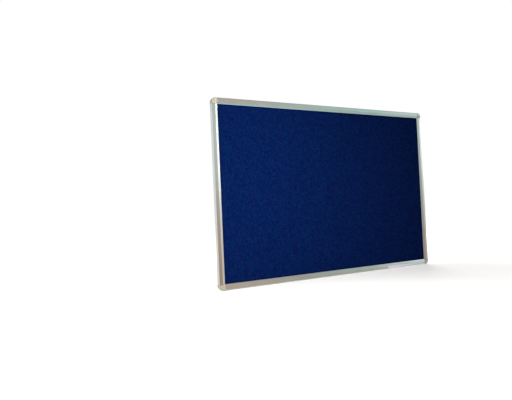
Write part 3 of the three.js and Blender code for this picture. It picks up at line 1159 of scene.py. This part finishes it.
FAR = (
    (-0.56, (1.0, 1.90, 2.0)),
    (-0.40, (0.14, 0.42, 0.45)),
    (-0.12, (0.38, 0.20, 0.18)),
    (-0.03, (0.85, 0.80, 0.75)),
    (0.10, (1.0, 1.35, 1.40)),
    (0.26, (0.48, 1.10, 1.20)),
    (0.38, (0.22, 0.12, 0.06)),
)
AROUND = (
    (-0.75, (0.78, 0.54, 0.50)),
    (-0.40, (1.0, 0.92, 0.92)),
    (0.20, (1.0, 1.14, 1.12)),
    (0.40, (0.40, 0.40, 0.36)),
)

# Where each takes over from the one before it, as the share of the level direction that
# points back at the wall, which is -1 straight out from the board.
TAKES_OVER = (
    (FAR, -0.46, -0.62),
    (WIDE, -0.69, -0.74),
    (ASIDE, -0.76, -0.92),
    (AHEAD, -0.94, -0.99),
)


def height_bands(height, bands):
    """The colour at a height from -1 to 1, blended from band to band."""
    inputs = {"Fac": stretch(height, -1.0, 1.0)}
    made = node(height.id_data, "ShaderNodeValToRGB", inputs)
    stops = made.color_ramp.elements
    for at, color in bands:
        stops.new((at + 1) / 2).color = (*color, 1.0)
    stops.remove(stops[-1])
    stops.remove(stops[0])
    return made.outputs["Color"]


def studio_world():
    """White for the camera, a studio of soft bands for shiny surfaces, and an even grey for
    the rest that is stronger behind the board."""
    ambient = bpy.context.scene.felt_stage.ambient
    world = bpy.data.worlds.new("studio")
    world.use_nodes = True
    tree = world.node_tree
    tree.nodes.clear()
    where = node(tree, "ShaderNodeTexCoord").outputs["Generated"]
    parts = parts_of(where)
    flat = {0: where, 1: (1.0, 1.0, 0.0)}
    level = node(tree, "ShaderNodeVectorMath", flat, operation="MULTIPLY").outputs[0]
    level = node(tree, "ShaderNodeVectorMath", {0: level}, operation="NORMALIZE").outputs[0]
    level = parts_of(level)["Y"]
    studio = height_bands(parts["Z"], AROUND)
    for bands, begin, end in TAKES_OVER:
        share = stretch(level, begin, end)
        studio = blend_colors(share, studio, height_bands(parts["Z"], bands))
    grey = stretch(parts["Y"], -0.1, 0.4, ambient, ambient * 6.5)
    path = node(tree, "ShaderNodeLightPath").outputs
    shines = math_of("MAXIMUM", path["Is Glossy Ray"], path["Is Transmission Ray"])
    color = blend_colors(shines, grey, studio)
    color = blend_colors(path["Is Camera Ray"], color, (1.0, 1.0, 1.0, 1.0))
    back = node(tree, "ShaderNodeBackground", {"Color": color})
    node(tree, "ShaderNodeOutputWorld", {"Surface": back.outputs[0]})
    bpy.context.scene.world = world


def pale_floor(place):
    """A plain pale floor. The camera sees it lifted towards white, the more so the further
    it is from the board, so that it keeps the board's soft shadow and has no horizon."""
    tree = place.id_data
    slow = noise(place, 1.5, 2.0)
    away = node(tree, "ShaderNodeVectorMath", {0: place}, operation="LENGTH")
    away = stretch(away.outputs["Value"], 0.6, 2.0, 0.4, 1.0)
    seen = node(tree, "ShaderNodeLightPath").outputs["Is Camera Ray"]
    return {
        "Base Color": varied(slow, (0.74, 0.72, 0.70, 1.0), (0.78, 0.76, 0.74, 1.0)),
        "Roughness": 0.9,
        "Specular IOR Level": 0.1,
        "Emission Color": (1.0, 1.0, 1.0, 1.0),
        "Emission Strength": scaled(seen, away),
    }


def build_floor():
    """A level square floor at the height of the board's lower edge, on a grid."""
    reach = 7
    side = np.linspace(-reach, reach, 15)
    x, y = np.meshgrid(side, side)
    skin = Skin()
    skin.grid(np.stack([x, y, np.full_like(x, -HALF_HEIGHT)], axis=-1), side, side)
    mesh = skin.mesh("floor")
    if mesh.polygons[0].normal.z < 0:
        mesh.flip_normals()
    mesh.materials.append(material(pale_floor))
    floor = loose("floor", mesh)
    floor.visible_glossy = False


def build_camera():
    """The camera that looks at the board."""
    stage = bpy.context.scene.felt_stage
    camera = bpy.data.cameras.new("camera")
    camera.sensor_width = 36
    camera.lens = stage.lens
    camera.clip_start = 0.02
    view = loose("camera", camera)
    view.location = stage.camera_place
    view.rotation_euler = stage.camera_turn
    bpy.context.scene.camera = view


def build_lamps():
    """Rectangular lamps. Shiny surfaces show the studio and not the lamps, but for the side
    light, which in turn gives no light to dull ones."""
    for name, power, place, target, size, color in LAMPS:
        lamp = bpy.data.lights.new(name, "AREA")
        lamp.shape = "RECTANGLE"
        lamp.size, lamp.size_y = size
        lamp.energy = getattr(bpy.context.scene.felt_stage, power)
        lamp.color = color
        made = loose(name, lamp)
        made.visible_camera = False
        made.visible_glossy = name == "side_light"
        made.visible_diffuse = name != "side_light"
        made.location = place
        aim = Vector(target) - Vector(place)
        made.rotation_euler = aim.to_track_quat("-Z", "Y").to_euler()


def build_stage():
    """The floor, the camera, the lamps and the world."""
    build_floor()
    build_camera()
    build_lamps()
    studio_world()
    bpy.context.scene.view_settings.view_transform = "Standard"


class BOARD_OT_stage(bpy.types.Operator):
    """Add the floor, the camera, the lamps and the world"""

    bl_idname = "felt_board.stage"
    bl_label = "Stage"

    def execute(self, context):
        build_stage()
        return {"FINISHED"}


class BOARD_OT_rails(bpy.types.Operator):
    """Add the four drawn aluminium rails of the frame"""

    bl_idname = "felt_board.rails"
    bl_label = "Rails"

    def execute(self, context):
        build_rails()
        return {"FINISHED"}


class BOARD_OT_caps(bpy.types.Operator):
    """Add the four rounded corner caps"""

    bl_idname = "felt_board.caps"
    bl_label = "Corner Caps"

    def execute(self, context):
        build_caps()
        return {"FINISHED"}


class BOARD_OT_blocks(bpy.types.Operator):
    """Add the four corner blocks under the caps"""

    bl_idname = "felt_board.blocks"
    bl_label = "Corner Blocks"

    def execute(self, context):
        build_blocks()
        return {"FINISHED"}


class BOARD_OT_felt(bpy.types.Operator):
    """Add the felt"""

    bl_idname = "felt_board.felt"
    bl_label = "Felt"

    def execute(self, context):
        build_felt()
        return {"FINISHED"}


class BOARD_OT_layers(bpy.types.Operator):
    """Give the softboard core and the hardboard backing their materials"""

    bl_idname = "felt_board.layers"
    bl_label = "Core And Backing"

    def execute(self, context):
        finish_layers()
        return {"FINISHED"}


class BOARD_OT_screws(bpy.types.Operator):
    """Add the eight screws in the backs of the rails"""

    bl_idname = "felt_board.screws"
    bl_label = "Screws"

    def execute(self, context):
        build_screws()
        return {"FINISHED"}


class BOARD_OT_strip(bpy.types.Operator):
    """Add the blank strip on the bottom rail"""

    bl_idname = "felt_board.strip"
    bl_label = "Blank Strip"

    def execute(self, context):
        build_strip()
        return {"FINISHED"}


OPERATORS = (
    BOARD_OT_stage,
    BOARD_OT_rails,
    BOARD_OT_caps,
    BOARD_OT_blocks,
    BOARD_OT_felt,
    BOARD_OT_layers,
    BOARD_OT_screws,
    BOARD_OT_strip,
)


class BOARD_PT_pieces(bpy.types.Panel):
    """The board's pieces and their sizes and colours"""

    bl_label = "Felt Board"
    bl_space_type = "VIEW_3D"
    bl_region_type = "UI"
    bl_category = "Felt Board"

    def draw(self, context):
        column = self.layout.column(align=True)
        for operator in OPERATORS:
            column.operator(operator.bl_idname)
        for group in (context.scene.felt_board, context.scene.felt_cover, context.scene.felt_stage):
            box = self.layout.box()
            for name in group.bl_rna.properties.keys():
                if name not in ("rna_type", "name"):
                    box.prop(group, name)


CLASSES = (BoardSettings, FeltSettings, StageSettings, *OPERATORS, BOARD_PT_pieces)


def register():
    for each in CLASSES:
        bpy.utils.register_class(each)
    bpy.types.Scene.felt_board = PointerProperty(type=BoardSettings)
    bpy.types.Scene.felt_cover = PointerProperty(type=FeltSettings)
    bpy.types.Scene.felt_stage = PointerProperty(type=StageSettings)


def unregister():
    del bpy.types.Scene.felt_stage
    del bpy.types.Scene.felt_cover
    del bpy.types.Scene.felt_board
    for each in reversed(CLASSES):
        bpy.utils.unregister_class(each)


def main():
    register()
    for operator in OPERATORS:
        getattr(bpy.ops.felt_board, operator.bl_idname.split(".")[1])()


if __name__ == "__main__":
    main()
